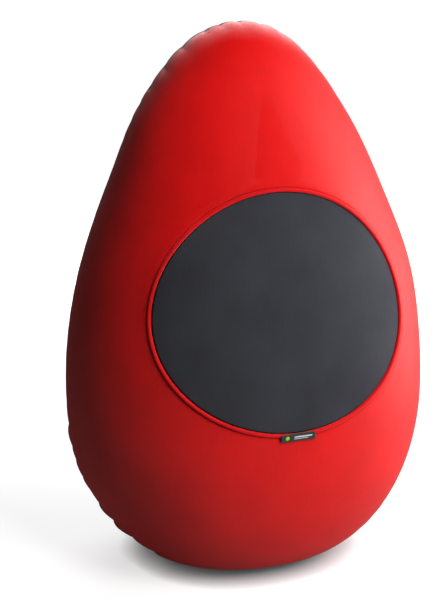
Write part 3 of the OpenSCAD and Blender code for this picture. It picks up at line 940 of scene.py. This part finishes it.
def piping():
    """The sleeve, slightly wrinkled, and the cord inside it."""
    points, normals = seat_ring(0, PIPING_LIFT, PIPING_STEPS)
    wrinkle = RNG.uniform(-1, 1, PIPING_STEPS)
    wrinkle = sum(np.roll(wrinkle, k) for k in range(-2, 3)) / 5
    form = tube_form(points, PIPING_R * (1 + PIPING_WRINKLE * wrinkle), 16, normals, closed=True)
    own(solid_object("seat_piping", *form, PIPING_RED), "red_stretch_fabric", "seat_piping_sleeve")
    form = tube_form(points, PIPING_CORD_R, 10, normals, closed=True)
    own(solid_object("piping_cord", *form, CORD), "piping_cord", "seat_piping_cord")


STITCH_LENGTH = 0.0034
STITCH_GAP = 0.0012
STITCH_R = 0.00035
STITCH_SIDES = 6
STITCH_SWELL = np.array([0.6, 1, 1.05, 1, 0.6])
STITCH_DIP = 2 * STITCH_R * np.abs(np.linspace(-1, 1, 5)) ** 3
TOPSTITCH_AWAY = 0.005
TOPSTITCH_LIFT = 0.001


def on_line(span, place, line):
    """The values of a line, known at the lengths in place, at the lengths in span."""
    return np.stack([np.interp(span, place, line[:, k]) for k in range(3)], -1)


def stitches(name, lines, material, slot, *nodes):
    """Rows of single stitches. Each line is points and normals; a stitch dips in at both ends."""
    verts, faces = [], []
    for points, normals in lines:
        place = distances(points[None], 1)[0]
        count = int(place[-1] / (STITCH_LENGTH + STITCH_GAP))
        pitch = place[-1] / count
        for number in range(count):
            span = number * pitch + np.linspace(0, pitch - STITCH_GAP, len(STITCH_SWELL))
            out = unit(on_line(span, place, normals))
            line = on_line(span, place, points) - out * STITCH_DIP[:, None]
            stitch_verts, stitch_faces = tube_form(line, STITCH_R * STITCH_SWELL, STITCH_SIDES, out)
            faces += [tuple(len(verts) + corner for corner in face) for face in stitch_faces]
            verts += stitch_verts
    return own(solid_object(name, verts, faces, material), slot, *nodes)


def seat_stitches():
    """The row of stitches beside the piping."""
    points, normals = seat_ring(PIPING_CLEAR + TOPSTITCH_AWAY, TOPSTITCH_LIFT, 2 * PIPING_STEPS)
    closed = np.concatenate([points, points[:1]]), np.concatenate([normals, normals[:1]])
    stitches("seat_topstitch_thread", [closed], RED_THREAD, "red_thread", "seat_topstitch")


# ---------- Zips ----------

COIL_PITCH = 0.0016
COIL_R = 0.00038
COIL_OFF = 0.00135
COIL_HALF_W = 0.0015
COIL_LIFT = 0.0002
COIL_HALF_H = 0.0006
COIL_SHORT = 0.6
ZIP_STITCH_AWAY = 0.002
ZIP_STITCH_LIFT = 0.0008


def arc_point(arc, height, turns, across, out):
    """Points on a zip: turn along its arc, distance across its middle line and out of the fabric."""
    centre, radius, lean, _ = arc
    turns = np.radians(turns)
    reach = radius + out * math.cos(lean) + across * math.sin(lean)
    climb = across * math.cos(lean) - out * math.sin(lean) + 0 * turns
    return np.stack([reach * np.cos(turns), centre + reach * np.sin(turns), height + climb], -1)


def zip_coil(name, arc, height, upper, material, slot, *nodes):
    """A nylon coil: one filament wound along the edge of its tape, between the turns of the other."""
    half_turn = arc[3] - COIL_SHORT
    count = int(math.radians(2 * half_turn) * arc[1] / COIL_PITCH)
    wound = np.linspace(0, count, count * 10 + 1)
    turns = mix(90 - half_turn, 90 + half_turn, wound / count)
    phase = 2 * math.pi * (wound + (0.5 if upper else 0))
    across = (1 if upper else -1) * (COIL_OFF - COIL_HALF_W * np.cos(phase))
    line = arc_point(arc, height, turns, across, COIL_LIFT + COIL_HALF_H * np.sin(phase))
    coil = solid_object(name, *tube_form(line, COIL_R, 5, [0.0, 0.0, 1.0]), material)
    return own(coil, slot, *nodes)


def zip_stitches():
    """A row of stitches on either side of the zip."""
    lines = []
    turns = np.linspace(90 - ZIP_ARC[3], 90 + ZIP_ARC[3], 400)
    for side in (-1, 1):
        across = side * (ZIP_SLOT_W / 2 + ZIP_STITCH_AWAY)
        points = arc_point(ZIP_ARC, ZIP_H, turns, across, ZIP_STITCH_LIFT)
        out = unit(arc_point(ZIP_ARC, ZIP_H, turns, across, 0.01) - points)
        lines.append((points, out))
    stitches("zip_topstitch_thread", lines, DARK_THREAD, "charcoal_thread", "zip_topstitch")


# ---------- Inside ----------


def liner_patch(name, lats, edges, steps, *nodes):
    """A panel of the liner from one turn to another, which may change with the latitude."""
    share = np.linspace(0, 1, steps + 1)[:, None]
    lat, turn = np.broadcast_arrays(lats, mix(*edges, share))
    points = leaned(skin(lat, turn, LINER_DEPTH))
    middle = float(np.mean([edges[0].mean(), edges[1].mean()]))
    piece = thicken(grid_object(name, points, fabric_uv(lat, turn, middle), LINER), LINER_T)
    own(piece, "liner_fabric", *nodes)


def liner():
    full = np.linspace(BASE_LAT, 90, 80)
    liner_patch("liner_front_cloth", full, (-180 - seam_at(full), seam_at(full)), 90, "liner_front")
    for name, node, low, high, count in (
            ("liner_back_cloth", "liner_back", LINER_ZIP_EDGES[1], 90, 60),
            ("liner_skirt_cloth", "liner_skirt", BASE_LAT, LINER_ZIP_EDGES[0], 30)):
        lats = np.linspace(low, high, count)
        edge = seam_at(lats) + slit_turn(lats)
        liner_patch(name, lats, (edge, 180 - edge), 80, node)
    points = underside(BASE_LAT - 0.3, 96, 8, 8, LINER_DEPTH)
    piece = grid_object("liner_base_cloth", points, uv_from_above(points), LINER, ring=True)
    thicken(piece, LINER_T)
    own(piece, "liner_fabric", "liner_base")


def bead_filling():
    """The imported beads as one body, from the middle of its underside up to the tip."""
    points = underside(90, 90, 1, 60, FILLING_DEPTH)
    piece = grid_object("bead_filling_body", leaned(points), uv_from_above(points), BEADS, ring=True)
    own(piece, "polystyrene_beads", "bead_filling")


BINDING_W = 0.016
BINDING_T = 0.0006
BINDING_DEPTH = 0.0075
BINDING_SHORT = 0.012
BASE_BINDING_DEPTH = 0.0070
BASE_BINDING_REACH = 1.1


def side_seam_binding():
    """A flat tape under the side seam, from the base over the tip and down again."""
    low, high = np.searchsorted(SEAM_PLACE, [BINDING_SHORT, SEAM_PLACE[-1] - BINDING_SHORT])
    spots = SEAM_LINE[low:high:5]
    normals = normal_at(spots)
    normals = unit(np.array([normals[max(0, i - 3):i + 4].mean(0) for i in range(len(normals))]))
    along = unit(np.gradient(spots, axis=0))
    side = unit(np.cross(normals, along))
    across = np.linspace(-BINDING_W / 2, BINDING_W / 2, 5)
    points = spots[:, None] - normals[:, None] * BINDING_DEPTH + side[:, None] * across[None, :, None]
    uv = np.stack(np.broadcast_arrays(across[None], np.arange(len(spots))[:, None] * 0.005), -1)
    piece = thicken(grid_object("side_seam_tape", leaned(points), uv, BINDING), BINDING_T)
    own(piece, "binding_tape", "side_seam_binding")


def base_seam_binding():
    """A flat tape round the base seam, as wide as its reach in degrees of latitude."""
    lats = np.linspace(BASE_LAT - BASE_BINDING_REACH, BASE_LAT + BASE_BINDING_REACH, 4)
    points = skin(lats, around(96)[:, None], BASE_BINDING_DEPTH)
    uv = np.stack(np.broadcast_arrays(lats[None] * 0.007, np.linspace(0, 1.2, 97)[:, None]), -1)
    piece = thicken(grid_object("base_seam_tape", points, uv, BINDING, ring=True), BINDING_T)
    own(piece, "binding_tape", "base_seam_binding")


CARE_LABEL_DEPTH = 0.0059
CARE_LABEL_T = 0.0003


def care_label():
    """A blank label that hangs inside the left side seam."""
    lat, turn = np.broadcast_arrays(np.linspace(-30, -18, 13), np.linspace(-180, -170, 11)[:, None])
    points, uv = skin(lat, turn, CARE_LABEL_DEPTH), fabric_uv(lat, turn, -175)
    piece = thicken(grid_object("care_label_sheet", points, uv, SATIN), CARE_LABEL_T)
    own(piece, "care_label_satin", "care_label")


# ---------- The side label ----------

LABEL_W = 0.074
LABEL_H = 0.016
LABEL_ANGLE = 272
LABEL_START = -0.0036
LABEL_CLEAR = 0.0004
LABEL_T = 0.0005
LABEL_FOLD_R = 0.00045
LABEL_ROOT_OUT = 0.0015
LABEL_TURN_R = 0.001
LABEL_SAG = 0.0021
LABEL_SAG_REACH = (0.004, 0.013)
LABEL_UNDER = 0.009
LABEL_CURL = 0.0007


def label_axes():
    """Where the label starts on the cover, and its directions along the seam, down and out."""
    point = seat_point(LABEL_ANGLE, 1, LABEL_START)
    out = normal_at(point)
    ahead = seat_point(LABEL_ANGLE + 1, 1, LABEL_START) - point
    along = unit(ahead - out * (ahead @ out))
    return point, along, np.cross(along, out), out


def label_profile():
    """The ribbon's line, as distances down the label and out of the cover: up from the seam beside
    the piping, over the piping, down to the fold, and back under itself."""
    crest = PIPING_LIFT + PIPING_R + LABEL_CLEAR
    shoulder = crest - LABEL_TURN_R
    climb = [(0.0, lift) for lift in np.linspace(LABEL_ROOT_OUT, shoulder, 8)]
    turn = [(1.2 * LABEL_TURN_R * (1 - math.cos(a)), shoulder + LABEL_TURN_R * math.sin(a))
            for a in np.linspace(0.3, math.pi / 2, 5)]
    tip = LABEL_H - LABEL_FOLD_R
    down = np.linspace(0.0028, tip, 16)
    sag = crest - LABEL_SAG * rise(down, *LABEL_SAG_REACH)
    upper = list(zip(down, sag))
    end = sag[-1] - LABEL_FOLD_R
    bend = [(tip + LABEL_FOLD_R * math.cos(a), end + LABEL_FOLD_R * math.sin(a))
            for a in np.radians(np.linspace(90, -90, 7)[1:-1])]
    under = [(d, lift - 2 * LABEL_FOLD_R) for d, lift in upper[::-1] if d > LABEL_UNDER]
    return np.array(climb + turn + upper + bend + under)


def offset(across, fall, lift, along, down, out):
    return across[..., None] * along + fall[..., None] * down + lift[..., None] * out


def label_curl(across, down):
    """How far the label stands out from flat at its ends."""
    return LABEL_CURL * (2 * np.abs(across) / LABEL_W) ** 3 * rise(down, LABEL_SAG_REACH[0], LABEL_H)


def side_label():
    """The folded ribbon, which runs from the seam over the piping to its fold, and its marks, which go on
    the label's body.
    """
    place, along, down, out = label_axes()
    profile = label_profile()
    across = np.linspace(-LABEL_W / 2, LABEL_W / 2, 49)[:, None]
    fall = profile[None, :, 0] + 0 * across
    lift = profile[None, :, 1] + LABEL_T / 2 + label_curl(across, fall)
    points = place + offset(across, fall, lift, along, down, out)
    uv = np.stack(np.broadcast_arrays(across, distances(points[:1], 1)), -1)
    piece = grid_object("side_label_ribbon", points, uv, RIBBON, outward=None)
    layer = piece.modifiers.new("thickness", "SOLIDIFY")
    layer.thickness, layer.offset = LABEL_T * 0.7, 0
    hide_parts("side_label")
    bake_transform(piece)
    marks = [mark("side_label_dot", -0.0235, 0.0080, 0.0044, 0.0044, GREEN, 1.0),
             mark("side_label_bar", 0.010, 0.0066, 0.020, 0.0015, GREY, 0.35),
             mark("side_label_line", 0.006, 0.0110, 0.016, 0.0007, GREY, 0.35)]
    for piece_mark in marks:
        own(piece_mark, "label_ribbon", body="label")
    length = float(distances(profile[None], 1)[0, -1])


MARK_H = 0.0002


def mark(name, x, y, half_w, half_h, material, power):
    """A small woven mark on the label, raised by a thread: a disc, or a bar with round ends."""
    place, along, down, out = label_axes()
    profile = label_profile()
    front = profile[:np.argmax(profile[:, 0])]
    turns = np.linspace(0, 2 * math.pi, 48, endpoint=False)[:, None]
    share = np.array([0, 0.4, 0.8, 1.0, 1.0])[None]
    across = x + half_w * shaped(np.cos(turns), power) * share
    fall = y + half_h * shaped(np.sin(turns), power) * share
    raised = MARK_H * np.array([1.1, 1.1, 1.0, 0.5, -1.0])[None]
    lift = np.interp(fall, *front.T) + LABEL_T * 0.85 + raised + label_curl(across, fall)
    points = place + offset(across, fall, lift, along, down, out)
    uv = np.stack([across, fall], -1)
    uv = np.concatenate([uv, uv[:1]])
    inside = Vector(place + x * along + y * down - out * 0.01)
    return grid_object(name, points, uv, material, ring=True, outward=inside)


# ---------- Carried CAD nodes ----------


BROKEN_EDGE = 0.00018


def finish_cad_nodes():
    """Better materials for the CAD nodes that show, and broken edges on the metal ones."""
    finishes = {
        "zip_tape_upper": TAPE, "zip_tape_lower": TAPE, "zip_stops": METAL, "zip_slider": METAL,
        "zip_pull": METAL, "liner_zip_tape_upper": LINER_TAPE, "liner_zip_tape_lower": LINER_TAPE,
        "liner_zip_stops": METAL, "liner_zip_slider": METAL,
    }
    for name, material in finishes.items():
        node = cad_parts[name]
        node.data.materials.clear()
        node.data.materials.append(material)
        if material is METAL:
            edge = node.modifiers.new("broken_edge", "BEVEL")
            edge.width, edge.segments = BROKEN_EDGE, 2
            edge.limit_method, edge.angle_limit = "ANGLE", math.radians(40)


# ---------- The studio ----------


def aim(thing, target):
    thing.rotation_mode = "QUATERNION"
    thing.rotation_quaternion = (Vector(target) - thing.location).to_track_quat("-Z", "Y")


def direction(azimuth, elevation):
    """From the object's front: azimuth to its right, elevation up."""
    a, e = math.radians(azimuth), math.radians(elevation)
    return Vector((math.sin(a) * math.cos(e), -math.cos(a) * math.cos(e), math.sin(e)))


CAMERA_AZ = -15.8594
CAMERA_EL = 15.8818
CAMERA_DISTANCE = 3.4
CAMERA_SIDE = -0.051
CAMERA_TARGET_H = 0.5832
LENS = 90.98


def camera():
    made = bpy.data.objects.new("camera", bpy.data.cameras.new("camera"))
    bpy.context.scene.collection.objects.link(made)
    a = math.radians(CAMERA_AZ)
    target = Vector((CAMERA_SIDE * math.cos(a), CAMERA_SIDE * math.sin(a), CAMERA_TARGET_H))
    made.location = target + direction(CAMERA_AZ, CAMERA_EL) * CAMERA_DISTANCE
    aim(made, target)
    made.data.lens = LENS
    made.data.sensor_width = 36
    bpy.context.scene.camera = made


def soft_box(name, azimuth, elevation, distance, size, power, target=(0, 0, 0.6)):
    """A rectangular white light that faces its target."""
    light = bpy.data.lights.new(name, "AREA")
    light.shape, light.size, light.size_y = "RECTANGLE", size[0], size[1]
    light.energy = power
    made = bpy.data.objects.new(name, light)
    bpy.context.scene.collection.objects.link(made)
    made.location = Vector(target) + direction(azimuth, elevation) * distance
    aim(made, target)
    return made


def world_light(seen, felt):
    """A white room as the camera sees it, and a dimmer one as the object feels it."""
    world = bpy.data.worlds.new("room")
    bpy.context.scene.world = world
    world.use_nodes = True
    tree = world.node_tree
    sky = tree.nodes["Background"]
    sky.inputs["Color"].default_value = WHITE
    path = tree.nodes.new("ShaderNodeLightPath")
    strength = tree.nodes.new("ShaderNodeMapRange")
    strength.inputs["To Min"].default_value = felt
    strength.inputs["To Max"].default_value = seen
    tree.links.new(path.outputs["Is Camera Ray"], strength.inputs["Value"])
    tree.links.new(strength.outputs[0], sky.inputs["Strength"])


# The floor's glow is painted light, seen by the camera only: dimmer near the chair and full far away.
FLOOR_NEAR_GLOW = 0.68
FLOOR_FAR_GLOW = 1.0
FLOOR_GLOW_RISE = (0.7, 2.6)
# Reach and strength of the painted contact shadow, which darkens the floor's glow near the chair.
PAINTED_SHADOW_REACH = 0.05
PAINTED_SHADOW_POWER = 1.1
FLOOR_SEEN_TONE = 0.5
FLOOR_BOUNCE_TONE = 0.36
FLOOR_SIZE = 40
FLOOR_DROP = 0.0005


def floor():
    """A pale floor made nearly white by a painted glow that only the camera sees, with a painted contact
    shadow: ambient occlusion dims the glow under the chair.
    """
    n = Nodes("floor")
    space = n.space()
    seen = n.add("ShaderNodeLightPath").outputs["Is Camera Ray"]
    tone = n.ramp(seen, FLOOR_BOUNCE_TONE, FLOOR_SEEN_TONE)
    n.set(Base_Color=tone, Roughness=0.9, Specular_IOR_Level=0.1)
    painted_shadow_ao = n.add("ShaderNodeAmbientOcclusion", {"Distance": PAINTED_SHADOW_REACH}, samples=16).outputs["AO"]
    away = n.add("ShaderNodeVectorMath", {0: space}, operation="LENGTH").outputs["Value"]
    glow = n.add("ShaderNodeMapRange", {
        "Value": away, "From Min": FLOOR_GLOW_RISE[0], "From Max": FLOOR_GLOW_RISE[1],
        "To Min": FLOOR_NEAR_GLOW, "To Max": FLOOR_FAR_GLOW}, interpolation_type="SMOOTHSTEP").outputs[0]
    # Painted contact shadow: the glow darkens where ambient occlusion finds the chair close by.
    glow = n.math("MULTIPLY", glow, n.math("POWER", painted_shadow_ao, PAINTED_SHADOW_POWER))
    n.set(Emission_Color=WHITE, Emission_Strength=n.math("MULTIPLY", seen, glow))
    mesh = bpy.data.meshes.new("floor")
    corners = [(x * FLOOR_SIZE, y * FLOOR_SIZE, 0) for x, y in ((-1, -1), (1, -1), (1, 1), (-1, 1))]
    mesh.from_pydata(corners, [], [(0, 1, 2, 3)])
    made = new_object("floor", mesh, n.material)
    made.location.z = -FLOOR_DROP
    made.visible_glossy = False


def studio():
    soft_box("key", 24, 38, 3.0, (1.5, 1.8), 103).visible_glossy = False
    soft_box("right_edge", 88, 8, 2.4, (0.8, 1.8), 46)
    soft_box("low", 46, 0, 2.4, (1.2, 0.36), 18, target=(0, 0, 0.22)).visible_glossy = False
    soft_box("left_edge", -118, 20, 2.8, (0.4, 1.8), 1.5).visible_glossy = False
    soft_box("behind", 165, 30, 3.2, (2.2, 1.6), 90)
    world_light(1.0, 0.026)
    floor()
    bpy.context.scene.view_settings.view_transform = "Standard"


camera()
SWELLING = swelling()
front_panel()
back_part("back_cover", ZIP_EDGES[1], 90, 150, BACK, "charcoal_cover_fabric", 0.002, 0.0, "back_panel")
back_part("back_skirt_cover", BASE_LAT, ZIP_EDGES[0], 60, BACK, "charcoal_cover_fabric", 0.003, 0.002,
          "back_skirt_panel")
base_panel()
seat_panel()
piping()
seat_stitches()
for right, side in ((True, "right"), (False, "left")):
    zip_facing("cover_zip_facing_" + side, *ZIP_EDGES, 0, right, BACK, "charcoal_cover_fabric",
               COVER_T, "zip_facing_" + side)
    zip_facing("liner_zip_facing_cloth_" + side, *LINER_ZIP_EDGES, LINER_DEPTH, right, LINER,
               "liner_fabric", LINER_T, "liner_zip_facing_" + side)
for upper, side in ((True, "upper"), (False, "lower")):
    zip_coil("cover_zip_coil_" + side, ZIP_ARC, ZIP_H, upper, NYLON, "zip_nylon", "zip_coil_" + side)
    zip_coil("liner_coil_" + side, LINER_ZIP_ARC, LINER_ZIP_H, upper, LINER_NYLON, "zip_nylon",
             "liner_zip_coil_" + side)
zip_stitches()
liner()
bead_filling()
side_seam_binding()
base_seam_binding()
care_label()
side_label()
finish_cad_nodes()
studio()
